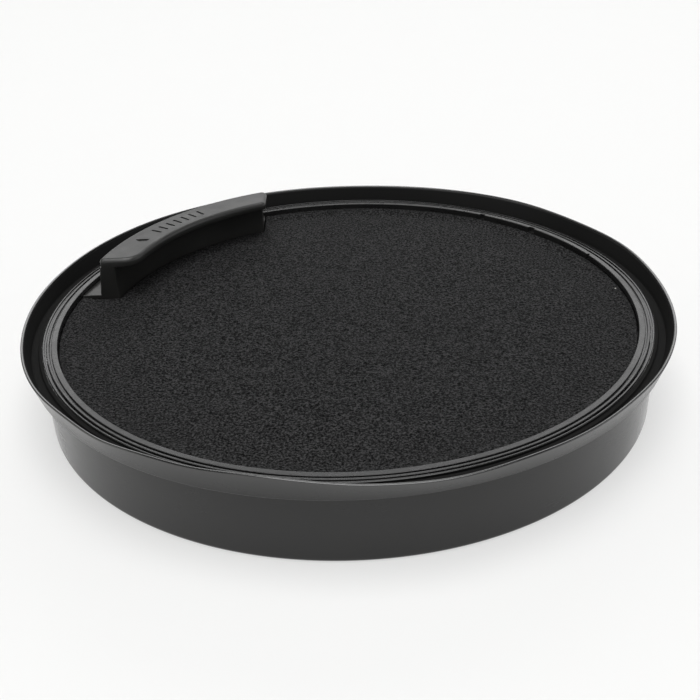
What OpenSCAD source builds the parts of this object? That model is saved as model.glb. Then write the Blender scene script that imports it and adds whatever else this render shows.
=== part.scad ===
// Round foam filter cartridge: a drum with a soft lip seal round its rim and a pleated
// filter inside, and a lift-out frame that carries a foam disc and a curved pull grip.
// Millimetres, +Z up. The origin is the centre of the drum's underside.
// Angles are measured anticlockwise from +X, seen from above.

/* [Drum] */
// Outer diameter of the drum's wall
drum_d = 172; // [160:1:200]
// Height of the drum's rim above its underside
drum_h = 21.8; // [21:0.2:30]
// Thickness of the drum's wall
drum_wall = 1.2; // [1:0.1:2]
// Radius of the round edge under the drum's wall
foot_round = 1.1; // [0.4:0.1:1.5]
// Width of the flange that turns in under the drum
foot_w = 8; // [5:0.5:12]
// Thickness of that flange
foot_t = 1.6; // [1.6:0.1:2.4]

/* [Lip seal] */
// How far the lip's edge stands out from the drum's wall
lip_reach = 4; // [3:0.1:6]
// How far the skirt's lower edge stands out from the drum's wall
skirt_reach = 3.2; // [2.6:0.1:5]
// How far the lip's edge stands above the drum's rim
lip_rise = 3.7; // [2:0.1:6]
// How far the seal's underside lies below the drum's rim
seal_drop = 2; // [1.8:0.1:4]
// Thickness of the lip
lip_t = 0.8; // [0.6:0.1:1.2]
// Thickness of the web where it meets the lip
web_t = 0.6; // [0.5:0.1:1.2]
// Height of the foot that bonds the seal to the drum's rim
seal_foot_h = 1.3; // [1:0.1:1.6]
// Depth of the step that the seal's foot sits in
step_depth = 0.6; // [0.5:0.1:0.8]

/* [Outlet grille] */
// Thickness of the outlet grille
grille_t = 1.8; // [1.2:0.1:2.4]
// Width of each rib of the outlet grille
grille_rib_w = 1.4; // [1:0.1:2]
// Distance between the round ribs of the outlet grille
grille_pitch = 12; // [8:0.5:16]
// Number of straight ribs of the outlet grille
grille_spokes = 24; // [12:1:30]
// Radius of the outlet grille's hub
grille_hub_r = 9; // [8:0.5:12]
// Clearance round the outlet grille
grille_gap = 0.2; // [0.1:0.05:0.4]

/* [Fine filter] */
// Height of the pleats
pleat_h = 7; // [5:0.2:8]
// Distance from one pleat to the next
pleat_pitch = 4; // [3:0.25:6]
// Thickness of the pleated paper
paper_t = 0.4; // [0.3:0.05:0.6]
// Width of the sealant between the pleats and the drum
potting_w = 2.4; // [1.5:0.1:4]

/* [Insert frame] */
// Clearance between the insert frame and the drum
insert_gap = 0.6; // [0.4:0.05:1]
// Clearance under the insert frame
seat_gap = 0.3; // [0.2:0.05:0.6]
// Thickness of the insert frame's round wall
frame_wall = 2.9; // [2.6:0.1:4]
// Width of the thin outer rim on that wall
thin_rim_w = 0.7; // [0.5:0.05:1]
// Width of the groove inside the thin rim
rim_groove_w = 0.55; // [0.4:0.05:0.9]
// Depth of that groove
rim_groove_depth = 1; // [0.5:0.1:2]
// Thickness of the insert frame's floor
floor_t = 1.6; // [1.2:0.1:2]
// Width of each rib of the floor
floor_rib_w = 1.6; // [1.2:0.1:2.4]
// Distance between the round ribs of the floor
floor_pitch = 16; // [12:0.5:17]
// Number of straight ribs of the floor
floor_spokes = 16; // [8:1:24]
// Radius of the floor's hub
floor_hub_r = 5; // [4.5:0.5:10]
// Width of the notches in the wall's inner edge
notch_w = 2.4; // [1:0.1:4]
// Depth of the notches, measured outwards
notch_depth = 0.8; // [0.4:0.1:1]
// Height of the notches
notch_h = 1.6; // [1:0.1:3]

/* [Foam and its net] */
// Thickness of the net under the foam
net_t = 0.4; // [0.3:0.05:0.8]
// Clearance round and under the foam
foam_gap = 0.3; // [0.3:0.05:0.6]
// How far the foam's face lies below the drum's rim
foam_drop = 2.2; // [1.5:0.1:4]

/* [Pull grip] */
// How far the grip's top stands above the drum's rim
grip_rise = 10.2; // [6:0.2:14]
// Width of the grip's top across the curve
grip_w = 11; // [9:0.5:14]
// Distance from the frame's wall to the back of the grip
grip_inset = 6.3; // [5:0.1:8]
// Distance from the middle to the grip's end on the +Y side, measured along X
end_x = 26; // [22:0.5:34]
// Distance from the middle to the grip's end on the -X side, measured along Y
end_y = 15.8; // [12:0.2:24]
// Thickness of the grip's top
slab_t = 2.5; // [1.8:0.1:3]
// Thickness of the wall under the top's outer edge, which leaves a gap for the fingers
grip_wall = 4.5; // [4:0.1:6]
// How far the wall leans outwards down to the ledge
wall_lean = 1; // [0:0.1:1.5]
// How far the wall's +Y end lies inside the top's
end_inset = 1.8; // [1.8:0.1:3]
// Size of the bevel along the grip's top edges
grip_bevel = 0.8; // [0.2:0.1:1.2]
// Corner radius at the -X end, on the inner side
long_corner_r = 4; // [1:0.25:5]
// Corner radius of the two corners at the +Y end
short_corner_r = 1.75; // [0.5:0.25:1.75]
// How far the ledge behind the grip lies below the drum's rim
ledge_drop = 1.3; // [1:0.1:2]
// Thickness of the ledge
ledge_t = 1.2; // [1:0.1:1.6]
// How far the pad under the grip stands above the frame's floor
pad_rise = 0.4; // [0.2:0.1:0.8]
// How far the pad's underside lies above the floor's underside
pad_relief = 0.3; // [0.1:0.1:0.6]
// Radius of the two pegs under the grip
peg_r = 2; // [1.5:0.1:2]
// Clearance round the pegs, and from the ledge and the pad to the frame's wall
peg_gap = 0.1; // [0.05:0.05:0.2]
// Number of short grip bars sunk in the top
bar_count = 7; // [3:1:9]
// Depth of the bars and of the arrow
mark_depth = 0.35; // [0.2:0.05:0.5]

/* [Hidden] */
$fn = 96;

// A little more than nothing, so that a cut passes its faces
over = 0.5;

// Radii
drum_r = drum_d / 2;
rim_r = drum_r - step_depth;
bore_r = drum_r - drum_wall;
foot_in_r = drum_r - foot_w;
frame_r = bore_r - insert_gap;
well_r = frame_r - frame_wall;
thin_rim_r = frame_r - thin_rim_w;
rim_groove_r = thin_rim_r - rim_groove_w;
pleat_r = bore_r - potting_w;
net_r = well_r - foam_gap;
foam_r = well_r - foam_gap;

// Heights, from the underside up
grille_z = foot_t;
pleat_z = grille_z + grille_t;
pleat_top = pleat_z + pleat_h;
floor_z = pleat_top + seat_gap;
floor_top = floor_z + floor_t;
pad_z = floor_z + pad_relief;
pad_top = floor_top + pad_rise;
foam_z = floor_top + net_t + foam_gap;
foam_top = drum_h - foam_drop;
seal_z = drum_h - seal_drop;
lip_z = drum_h + lip_rise;

// Pull grip
grip_out_r = well_r - grip_inset;
grip_in_r = grip_out_r - grip_w;
grip_wall_r = grip_out_r - grip_wall;
grip_foot_r = grip_out_r + wall_lean;
grip_top = drum_h + grip_rise;
slab_z = grip_top - slab_t;
ledge_top = drum_h - ledge_drop;
pad_in_r = grip_wall_r - peg_r;

wall_end_x = end_x + end_inset;

// Azimuths of the wall's two ends at a radius
function end_from(r) = 90 + asin(wall_end_x / r);
function end_to(r) = 180 - asin(end_y / r);

// Pegs, a quarter of the wall's length from each end
peg_ring_r = (grip_wall_r + grip_foot_r) / 2;
peg_share = 0.25;
peg_angles = [for (share = [peg_share, 1 - peg_share])
    end_from(peg_ring_r) * (1 - share) + end_to(peg_ring_r) * share];

// The net and the floor's pad keep this far from the grip
pad_margin = 1;

// Marks on the grip's top
mark_r = (grip_in_r + grip_out_r) / 2;
bar_len = 4;
bar_w = 0.8;
bar_step = 2.6;
bar_mid = (end_from(mark_r) + end_to(mark_r)) / 2;
arrow_size = 2;
arrow_angle = bar_mid + bar_step * (bar_count + 1) / 2 + 4;

// Azimuth of each notch in the frame's inner edge, and its share of notch_w
notches = [[21, 0.4], [40, 1], [54, 0.75]];

// A ring of rectangular section
module ring(r_in, r_out, z_low, z_high) {
    rotate_extrude()
        translate([r_in, z_low])
            square([r_out - r_in, z_high - z_low]);
}

// An open grille: hub, rim, round ribs and straight ribs
module grille(r_hub, r_rim, r_out, thickness, pitch, rib_w, spokes) {
    cylinder(h = thickness, r = r_hub);
    ring(r_rim, r_out, 0, thickness);
    for (r = [r_hub + pitch : pitch : r_rim - pitch / 2])
        ring(r - rib_w / 2, r + rib_w / 2, 0, thickness);
    for (i = [0 : spokes - 1])
        rotate([0, 0, i * 360 / spokes])
            translate([r_hub - over, -rib_w / 2, 0])
                cube([r_rim - r_hub + 2 * over, rib_w, thickness]);
}

// Wall with a rounded foot, a turned-in flange, and a thin rim behind the seal's step
module drum_shell() {
    color([0.13, 0.13, 0.13])
        rotate_extrude()
            union() {
                translate([bore_r, foot_round])
                    square([drum_wall, seal_z - foot_round]);
                translate([bore_r, foot_round])
                    square([rim_r - bore_r, drum_h - foot_round]);
                translate([foot_in_r, 0])
                    square([drum_r - foot_round - foot_in_r, foot_t]);
                intersection() {
                    translate([drum_r - foot_round, foot_round])
                        circle(foot_round);
                    translate([drum_r - foot_round, 0])
                        square(foot_round);
                }
            }
}

// Grille that closes the outlet side and carries the pleats
module outlet_grille() {
    color([0.16, 0.16, 0.17])
        translate([0, 0, grille_z])
            grille(grille_hub_r, foot_in_r + over, bore_r - grille_gap, grille_t,
                grille_pitch, grille_rib_w, grille_spokes);
}

// Paper folded up and down across the whole disc
module pleated_filter() {
    half = pleat_pitch / 2;
    folds = 2 * ceil(pleat_r / pleat_pitch) + 1;
    slant_t = paper_t * sqrt(pow(half, 2) + pow(pleat_h, 2)) / half;
    function fold_z(i) = (i % 2 == 0) ? 0 : pleat_h - slant_t;
    under = [for (i = [0 : 2 * folds]) [(i - folds) * half, fold_z(i)]];
    upper = [for (i = [2 * folds : -1 : 0]) [(i - folds) * half, fold_z(i) + slant_t]];
    color([0.86, 0.85, 0.8])
        translate([0, 0, pleat_z])
            intersection() {
                translate([0, pleat_r + over, 0])
                    rotate([90, 0, 0])
                        linear_extrude(2 * (pleat_r + over))
                            polygon(concat(under, upper));
                cylinder(h = pleat_h, r = pleat_r);
            }
}

// Sealant that joins the pleats' rim to the drum
module potting_bead() {
    color([0.55, 0.53, 0.47])
        ring(pleat_r, bore_r, pleat_z, pleat_top);
}

// Soft seal: a foot on the drum's step, a web, and a thin lip that leans outwards
module lip_seal() {
    color([0.1, 0.1, 0.1])
        rotate_extrude()
            polygon([
                [rim_r, seal_z],
                [drum_r + skirt_reach, seal_z],
                [drum_r + lip_reach, lip_z],
                [drum_r + lip_reach - lip_t, lip_z],
                [drum_r + skirt_reach - lip_t, seal_z + web_t],
                [rim_r, seal_z + seal_foot_h]
            ]);
}

// Part of a ring that lies beyond two planes, at x to the left and at y to the back
module grip_arc(r_in, r_out, z_low, z_high, x, y) {
    intersection() {
        ring(r_in, r_out, z_low, z_high);
        translate([-drum_r, y, z_low])
            cube([drum_r - x, drum_r, z_high - z_low]);
    }
}

// Pad on the frame's floor that the grip stands on
module grip_pad() {
    grip_arc(pad_in_r, well_r - peg_gap, pad_z, pad_top, wall_end_x - pad_margin, end_y - pad_margin);
}

// Round wall of the lift-out frame, with its double rim
module insert_frame() {
    color([0.2, 0.2, 0.2])
        difference() {
            ring(well_r, frame_r, floor_top, drum_h);
            ring(rim_groove_r, thin_rim_r, drum_h - rim_groove_depth, drum_h + over);
            for (notch = notches)
                rotate([0, 0, notch[0]])
                    translate([well_r - over, -notch_w * notch[1] / 2, drum_h - notch_h])
                        cube([notch_depth + over, notch_w * notch[1], notch_h + over]);
        }
}

// Open floor that is welded under the frame's wall, with the pad that holds the grip
module floor_grille() {
    color([0.2, 0.2, 0.2])
        difference() {
            union() {
                translate([0, 0, floor_z])
                    grille(floor_hub_r, well_r - floor_rib_w, frame_r, floor_t,
                        floor_pitch, floor_rib_w, floor_spokes);
                grip_pad();
            }
            for (a = peg_angles)
                rotate([0, 0, a])
                    translate([peg_ring_r, 0, floor_z - over])
                        cylinder(h = pad_top - floor_z + 2 * over, r = peg_r + peg_gap, $fn = 32);
        }
}

// Net that keeps the foam off the floor's ribs
module support_net() {
    color([0.3, 0.3, 0.32])
        difference() {
            translate([0, 0, floor_top])
                cylinder(h = net_t, r = net_r);
            grip_arc(pad_in_r - pad_margin, well_r + over, floor_top - over, floor_top + net_t + over,
                wall_end_x - 2 * pad_margin, end_y - 2 * pad_margin);
        }
}

// Space that a corner's rounding takes away. The two sides face outwards along u and v
module corner_cut(centre, corner_r, u, v) {
    reach = corner_r + over;
    translate(centre)
        difference() {
            polygon([[0, 0], reach * u, reach * (u + v) / (1 + u * v), reach * v]);
            circle(corner_r, $fn = 32);
        }
}

// Rounded corner at the +Y end. side is 1 on the outer arc and -1 on the inner arc
module end_corner(r, side) {
    c = [-end_x - short_corner_r, sqrt(pow(r - side * short_corner_r, 2) - pow(end_x + short_corner_r, 2))];
    corner_cut(c, short_corner_r, [1, 0], side * c / norm(c));
}

// Rounded corner at the -X end, on the inner arc
module inner_corner() {
    c = [-sqrt(pow(grip_in_r + long_corner_r, 2) - pow(end_y + long_corner_r, 2)), end_y + long_corner_r];
    corner_cut(c, long_corner_r, [0, -1], -c / norm(c));
}

// The grip's top, seen from above
module grip_plan() {
    difference() {
        intersection() {
            circle(grip_out_r);
            translate([-drum_r, end_y])
                square([drum_r - end_x, drum_r]);
        }
        circle(grip_in_r);
        end_corner(grip_in_r, -1);
        end_corner(grip_out_r, 1);
        inner_corner();
    }
}

// Grip bars and a plain arrow, sunk in the grip's top
module grip_marks() {
    for (i = [0 : bar_count - 1])
        rotate([0, 0, bar_mid + (i - (bar_count - 1) / 2) * bar_step])
            translate([mark_r - bar_len / 2, -bar_w / 2, grip_top - mark_depth])
                cube([bar_len, bar_w, mark_depth + over]);
    rotate([0, 0, arrow_angle])
        translate([mark_r, 0, grip_top - mark_depth])
            linear_extrude(mark_depth + over)
                polygon([[-arrow_size, -arrow_size], [arrow_size, 0], [-arrow_size, arrow_size]]);
}

// The grip's top, with bevelled edges along its two arcs
module grip_slab() {
    intersection() {
        translate([0, 0, slab_z])
            linear_extrude(slab_t)
                grip_plan();
        rotate_extrude()
            polygon([
                [grip_in_r, slab_z],
                [grip_out_r, slab_z],
                [grip_out_r, grip_top - grip_bevel],
                [grip_out_r - grip_bevel, grip_top],
                [grip_in_r + grip_bevel, grip_top],
                [grip_in_r, grip_top - grip_bevel]
            ]);
    }
}

// The wall that carries the top, leaning out down to the ledge
module grip_stem() {
    intersection() {
        rotate_extrude()
            polygon([
                [grip_wall_r, pad_top],
                [grip_foot_r, pad_top],
                [grip_foot_r, ledge_top],
                [grip_out_r, slab_z],
                [grip_wall_r, slab_z + slab_t / 2]
            ]);
        grip_arc(grip_wall_r - over, grip_foot_r + over, pad_top, grip_top, wall_end_x, end_y);
    }
}

// Curved grip: a top over a set-back wall, a ledge to the frame's wall and two pegs
module pull_grip() {
    color([0.42, 0.42, 0.4]) {
        difference() {
            grip_slab();
            grip_marks();
        }
        grip_stem();
        grip_arc(grip_foot_r - over, well_r - peg_gap, ledge_top - ledge_t, ledge_top, wall_end_x, end_y);
        for (a = peg_angles)
            rotate([0, 0, a])
                translate([peg_ring_r, 0, floor_z])
                    cylinder(h = pad_top - floor_z + over, r = peg_r, $fn = 32);
    }
}

// Foam disc, cut out round the grip's top so that it lifts straight up
module foam_disc() {
    color([0.08, 0.08, 0.08])
        difference() {
            translate([0, 0, foam_z])
                cylinder(h = foam_top - foam_z, r = foam_r);
            grip_arc(grip_in_r - foam_gap, well_r + over, foam_z - over, foam_top + over,
                end_x - foam_gap, end_y - foam_gap);
        }
}

drum_shell();
outlet_grille();
pleated_filter();
potting_bead();
lip_seal();
insert_frame();
floor_grille();
support_net();
pull_grip();
foam_disc();
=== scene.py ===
"""Round foam filter cartridge: a drum with a soft flared lip, a pleated filter inside it, and
a lift-out frame with a foam disc and a curved pull grip.

The script is laid out as an add-on. Each piece has its own operator, and the sizes and colours
that a user would change are properties of the scene. All lengths are in metres, +Z is up, and
the origin is the centre of the drum's underside. Azimuths run anticlockwise from +X.
"""

import math

import bmesh
import bpy
from mathutils import Matrix, Vector, geometry, noise


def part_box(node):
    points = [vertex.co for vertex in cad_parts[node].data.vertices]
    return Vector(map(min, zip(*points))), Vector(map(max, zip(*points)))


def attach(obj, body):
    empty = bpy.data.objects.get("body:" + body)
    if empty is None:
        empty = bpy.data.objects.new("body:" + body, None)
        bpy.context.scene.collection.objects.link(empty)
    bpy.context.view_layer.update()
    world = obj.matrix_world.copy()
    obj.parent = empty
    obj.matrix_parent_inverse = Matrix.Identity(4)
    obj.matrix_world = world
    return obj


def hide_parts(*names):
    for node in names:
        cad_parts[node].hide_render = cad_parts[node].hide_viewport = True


bl_info = {
    "name": "Foam Filter Cartridge",
    "version": (1, 0, 0),
    "blender": (4, 5, 0),
    "location": "3D View > Sidebar > Cartridge",
    "description": "Builds a round filter cartridge with a lip seal, a lift-out frame and foam",
    "category": "Add Mesh",
}

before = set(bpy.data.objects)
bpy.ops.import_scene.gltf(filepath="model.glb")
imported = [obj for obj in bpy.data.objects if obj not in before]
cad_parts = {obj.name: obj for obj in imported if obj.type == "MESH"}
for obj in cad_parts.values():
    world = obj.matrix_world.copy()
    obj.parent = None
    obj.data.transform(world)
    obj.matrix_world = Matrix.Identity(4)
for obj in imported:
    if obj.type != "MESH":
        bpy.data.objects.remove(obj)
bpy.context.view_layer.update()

MM = 0.001
TURN = 2 * math.pi


def size_of(node):
    """Radius, underside and top of a round node of the frame."""
    low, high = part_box(node)
    return high.x, low.z, high.z


DRUM_R, _, DRUM_H = size_of("drum_shell")
LIP_R, SEAL_Z, LIP_Z = size_of("lip_seal")
GRILLE_R, GRILLE_Z, GRILLE_TOP = size_of("outlet_grille")
PLEAT_R, PLEAT_Z, PLEAT_TOP = size_of("pleated_filter")
BORE_R, _, _ = size_of("potting_bead")
FRAME_R, FLOOR_TOP, _ = size_of("insert_frame")
_, FLOOR_Z, PAD_TOP = size_of("floor_grille")
_, NET_Z, NET_TOP = size_of("support_net")
FOAM_R, FOAM_Z, FOAM_TOP = size_of("foam_disc")
_, _, GRIP_TOP = size_of("pull_grip")

# Play between the frame's wall and what stands in it, and the radius of the grip's pegs
PLAY = 0.1 * MM
PEG_R = 2 * MM
# Value of the seal's dull attribute along the lip's shiny edge
LIP_SHINE = -0.8


# ---------------------------------------------------------------- settings


def length(name, description, default, low=0.0):
    """A length property in metres."""
    return bpy.props.FloatProperty(
        name=name, description=description, default=default, min=low, precision=5, unit="LENGTH"
    )


def colour(name, description, default):
    """A linear colour property."""
    return bpy.props.FloatVectorProperty(
        name=name, description=description, default=default, size=3, min=0, max=1, subtype="COLOR"
    )


def share(name, description, default, low=0.0, high=1.0):
    """A plain number between two limits."""
    return bpy.props.FloatProperty(name=name, description=description, default=default, min=low, max=high)


def count(name, description, default, low=1):
    """A whole number of things."""
    return bpy.props.IntProperty(name=name, description=description, default=default, min=low)


class CartridgeDrumSettings(bpy.types.PropertyGroup):
    """Sizes and finish of the drum's wall"""

    foot_width: length("Foot Width", "Width of the flange that turns in under the drum", 8 * MM)
    foot_thickness: length("Foot Thickness", "Thickness of that flange", 1.6 * MM)
    foot_round: length("Foot Rounding", "Radius of the edge under the wall", 1.1 * MM)
    rim_step: length("Rim Step", "Depth of the step that the seal's foot sits in", 0.6 * MM)
    colour: colour("Colour", "Colour of the moulded plastic", (0.005, 0.005, 0.005))
    roughness: share("Roughness", "Roughness of the moulded plastic", 0.22)


class CartridgeSealSettings(bpy.types.PropertyGroup):
    """Sizes and finish of the soft lip seal"""

    lip_thickness: length("Lip Thickness", "Thickness of the lip", 0.8 * MM)
    web_thickness: length("Web Thickness", "Thickness of the web where it meets the lip", 0.6 * MM)
    foot_height: length("Foot Height", "Height of the foot that bonds to the drum", 1.3 * MM)
    lean: length("Lean", "How far the lip leans outwards", 0.8 * MM)
    wave: share("Wave", "How much of the lip's waviness is used", 1.0)
    colour: colour("Colour", "Colour of the rubber", (0.0075, 0.0075, 0.0074))
    roughness: share("Roughness", "Roughness of the rubber", 0.3)


class CartridgeFilterSettings(bpy.types.PropertyGroup):
    """Sizes and finish of the pleated filter, its sealant and the outlet grille"""

    pleat_pitch: length("Pleat Pitch", "Distance from one pleat to the next", 4 * MM, 1 * MM)
    paper_thickness: length("Paper Thickness", "Thickness of the filter paper", 0.4 * MM)
    paper_colour: colour("Paper Colour", "Colour of the filter paper", (0.74, 0.72, 0.66))
    sealant_colour: colour("Sealant Colour", "Colour of the sealant", (0.4, 0.37, 0.31))
    hub_radius: length("Hub Radius", "Radius of the grille's hub", 9 * MM)
    rib_width: length("Rib Width", "Width of each rib of the grille", 1.4 * MM)
    rib_pitch: length("Rib Pitch", "Distance between the grille's round ribs", 12 * MM, 2 * MM)
    spokes: count("Spokes", "Number of straight ribs of the grille", 24, 3)
    grille_colour: colour("Grille Colour", "Colour of the grille", (0.04, 0.04, 0.042))


class CartridgeFrameSettings(bpy.types.PropertyGroup):
    """Sizes and finish of the lift-out frame and its net"""

    wall: length("Wall", "Thickness of the frame's round wall", 2.9 * MM)
    outer_rim: length("Outer Rim", "Width of the thin rim outside the groove", 0.7 * MM)
    groove_width: length("Groove Width", "Width of the groove in the rim", 0.55 * MM)
    groove_depth: length("Groove Depth", "Depth of that groove", 0.55 * MM)
    notch_width: length("Notch Width", "Width of the notches in the inner edge", 2.4 * MM)
    notch_depth: length("Notch Depth", "Depth of the notches", 0.8 * MM)
    notch_height: length("Notch Height", "Height of the notches", 1.6 * MM)
    hub_radius: length("Hub Radius", "Radius of the floor's hub", 5 * MM)
    rib_width: length("Rib Width", "Width of each rib of the floor", 1.6 * MM)
    rib_pitch: length("Rib Pitch", "Distance between the floor's round ribs", 16 * MM, 2 * MM)
    spokes: count("Spokes", "Number of straight ribs of the floor", 16, 3)
    net_pitch: length("Net Pitch", "Distance between the strands of the net", 3 * MM, 1 * MM)
    colour: colour("Colour", "Colour of the moulded plastic", (0.007, 0.007, 0.007))
    net_colour: colour("Net Colour", "Colour of the net", (0.06, 0.06, 0.065))
    roughness: share("Roughness", "Roughness of the moulded plastic", 0.27)


class CartridgeGripSettings(bpy.types.PropertyGroup):
    """Sizes and finish of the pull grip"""

    inset: length("Inset", "Distance from the frame's wall to the back of the grip", 6.3 * MM)
    width: length("Width", "Width of the grip across its curve", 11 * MM)
    end_x: length("Right End", "Distance from the middle to the right end, along X", 26 * MM)
    end_y: length("Left End", "Distance from the middle to the left end, along Y", 15.8 * MM)
    slab: length("Top Thickness", "Thickness of the overhanging top", 2.5 * MM)
    wall: length("Wall", "Thickness of the wall under the top's outer edge", 4.5 * MM)
    lean: length("Lean", "How far the wall leans out down to the ledge", 1 * MM)
    end_inset: length("End Inset", "How far the wall's right end lies inside the top's", 1.8 * MM)
    edge_round: length("Edge Rounding", "Radius of the grip's top edges", 1.2 * MM)
    long_corner: length("Long Corner", "Radius of the inner corner at the left end", 5.5 * MM)
    short_corner: length("Short Corner", "Radius of the two corners at the right end", 1.75 * MM)
    bars: count("Bars", "Number of short bars sunk in the top", 7)
    colour: colour("Colour", "Colour of the moulded plastic", (0.011, 0.011, 0.0103))
    roughness: share("Roughness", "Roughness of the moulded plastic", 0.38)


class CartridgeFoamSettings(bpy.types.PropertyGroup):
    """Sizes and finish of the foam disc"""

    grain: length("Grain", "Distance between the points of the foam's face", 0.5 * MM, 0.2 * MM)
    relief: length("Relief", "Depth of the foam's pores", 0.2 * MM)
    edge_rise: length("Edge Rise", "How far the foam's edge climbs up the frame's wall", 0.8 * MM)
    crown: length("Crown", "How far the middle stands above the edge", 0.5 * MM)
    colour: colour("Colour", "Colour of the foam", (0.0068, 0.0068, 0.007))


class CartridgeStageSettings(bpy.types.PropertyGroup):
    """The floor, the lights and the camera"""

    floor_colour: colour("Floor Colour", "Colour of the floor", (0.37, 0.37, 0.367))
    floor_glow: share("Floor Glow", "Even light that the floor gives off", 0.48, 0.0, 4.0)
    surround: share("Surround", "Brightness of the even white light", 0.16, 0.0, 4.0)
    horizon: share("Horizon", "Brightness of the white surround low down", 1.0, 0.0, 4.0)
    top: share("Top Light", "Brightness of the large light overhead", 4.6, 0.0, 20.0)
    front: share("Front Light", "Brightness of the large light above the front", 2.2, 0.0, 20.0)
    back: share("Back Light", "Brightness of the wide light behind", 2.2, 0.0, 20.0)
    sides: share("Side Lights", "Brightness of the lights at the two sides", 1.0, 0.0, 20.0)
    distance: length("Camera Distance", "Distance from the camera to the drum", 298.9 * MM)
    elevation: share("Camera Elevation", "Height of the camera above the horizon, in degrees", 30.13, -90, 90)
    roll: share("Camera Roll", "Turn of the camera about its view, in degrees", 2.2, -45, 45)


# ---------------------------------------------------------------- shapes


def mesh_piece(name, vertices, faces, smooth_angle=35):
    """A new object from plain lists, with its faces outward and its edges smooth below an angle."""
    mesh = bpy.data.meshes.new(name)
    mesh.from_pydata(vertices, [], faces)
    return finish_piece(bpy.data.objects.new(name, mesh), smooth_angle)


def finish_piece(piece, smooth_angle=35):
    """Merges doubles, turns the faces outward and sets which edges stay sharp."""
    if not piece.users_collection:
        bpy.context.scene.collection.objects.link(piece)
    mesh = piece.data
    work = bmesh.new()
    work.from_mesh(mesh)
    bmesh.ops.remove_doubles(work, verts=work.verts, dist=1e-7)
    bmesh.ops.recalc_face_normals(work, faces=work.faces)
    work.to_mesh(mesh)
    work.free()
    mesh.shade_smooth()
    mesh.set_sharp_from_angle(angle=math.radians(smooth_angle))
    return piece


def plain_mesh(piece):
    """The piece's mesh with its modifiers applied."""
    bpy.context.view_layer.update()
    return bpy.data.meshes.new_from_object(piece.evaluated_get(bpy.context.evaluated_depsgraph_get()))


def apply_modifiers(piece):
    """Leaves the piece a plain mesh."""
    shape = plain_mesh(piece)
    piece.modifiers.clear()
    piece.data = shape


def polar(radius, azimuth):
    """A point in plan."""
    return Vector((radius * math.cos(azimuth), radius * math.sin(azimuth)))


def quarter_turn(steps):
    """Steps of a rounded edge, as shares of its radius: how far it falls short along each side."""
    turns = [math.pi / 2 * step / steps for step in range(steps + 1)]
    return [(1 - math.sin(turn), 1 - math.cos(turn)) for turn in turns]


def rounded(corners, steps=5, hold=0.06 * MM):
    """A closed outline with its corners rounded. Each corner is (x, y) or (x, y, radius).

    A point just past each end of an arc keeps the shading of the flats beside it flat.
    """
    outline = []
    for i, corner in enumerate(corners):
        here = Vector(corner[:2])
        radius = corner[2] if len(corner) > 2 else 0.0
        before = Vector(corners[i - 1][:2]) - here
        after = Vector(corners[(i + 1) % len(corners)][:2]) - here
        if radius <= 0:
            outline.append(tuple(here))
            continue
        half = before.angle(after) / 2
        reach = min(radius / math.tan(half), before.length * 0.49, after.length * 0.49)
        radius = reach * math.tan(half)
        middle = here + (before.normalized() + after.normalized()).normalized() * radius / math.sin(half)
        start = here + before.normalized() * reach - middle
        sweep = start.angle_signed(here + after.normalized() * reach - middle)
        first, last = (
            tuple(here + side.normalized() * min(reach + hold, side.length * 0.5)) for side in (before, after)
        )
        arc = [tuple(middle + Matrix.Rotation(-sweep * step / steps, 2) @ start) for step in range(steps + 1)]
        outline += [first, *arc, last]
    return outline


def even_azimuths(steps):
    """Azimuths all the way round."""
    return [TURN * i / steps for i in range(steps)]


def lathe(name, outline, azimuths, bend=None):
    """Turns a closed outline of (radius, height) about Z. bend(r, z, azimuth) may move a point."""
    bend = bend or (lambda r, z, a: (r, z))
    vertices = []
    for a in azimuths:
        for r, z in outline:
            r, z = bend(r, z, a)
            vertices.append((r * math.cos(a), r * math.sin(a), z))
    sides, rounds = len(outline), len(azimuths)
    faces = []
    for i in range(rounds):
        j = (i + 1) % rounds
        for k in range(sides):
            m = (k + 1) % sides
            faces.append((i * sides + k, j * sides + k, j * sides + m, i * sides + m))
    return mesh_piece(name, vertices, faces)


def lofted(name, levels):
    """A closed solid through outlines with the same number of points. levels is [(outline, z)]."""
    vertices, faces = [], []
    sides = len(levels[0][0])
    for outline, z in levels:
        vertices += [(p.x, p.y, z) for p in outline]
    for i in range(len(levels) - 1):
        for k in range(sides):
            m = (k + 1) % sides
            faces.append((i * sides + k, i * sides + m, (i + 1) * sides + m, (i + 1) * sides + k))
    faces.append(tuple(range(sides)))
    faces.append(tuple(range((len(levels) - 1) * sides, len(levels) * sides)))
    return mesh_piece(name, vertices, faces)


def placed_prism(name, corners, radius, azimuth, low, high):
    """An upright prism of plan corners (outwards, sideways), set at a radius and an azimuth."""
    turn = Matrix.Rotation(azimuth, 2)
    plan = [turn @ Vector((radius + x, y)) for x, y in corners]
    return lofted(name, [(plan, low), (plan, high)])


def combine(piece, others, operation):
    """Adds the others to a piece, or cuts them out of it, and leaves a plain mesh."""
    for other in others:
        modifier = piece.modifiers.new("Combine", "BOOLEAN")
        modifier.operation = operation
        modifier.solver = "EXACT"
        modifier.object = other
    apply_modifiers(piece)
    for other in others:
        bpy.data.objects.remove(other)


def resampled(points, wanted):
    """The same closed line with another number of points, starting at the same place."""
    total = [0.0]
    for i, p in enumerate(points):
        total.append(total[-1] + (points[(i + 1) % len(points)] - p).length)
    out, k = [], 0
    for i in range(wanted):
        at = total[-1] * i / wanted
        while total[k + 1] < at:
            k += 1
        part = (at - total[k]) / max(total[k + 1] - total[k], 1e-12)
        out.append(points[k].lerp(points[(k + 1) % len(points)], part))
    return out


def smoothstep(low, high, value):
    """0 below low, 1 above high, and smooth between."""
    t = min(max((value - low) / (high - low), 0.0), 1.0)
    return t * t * (3 - 2 * t)


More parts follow.
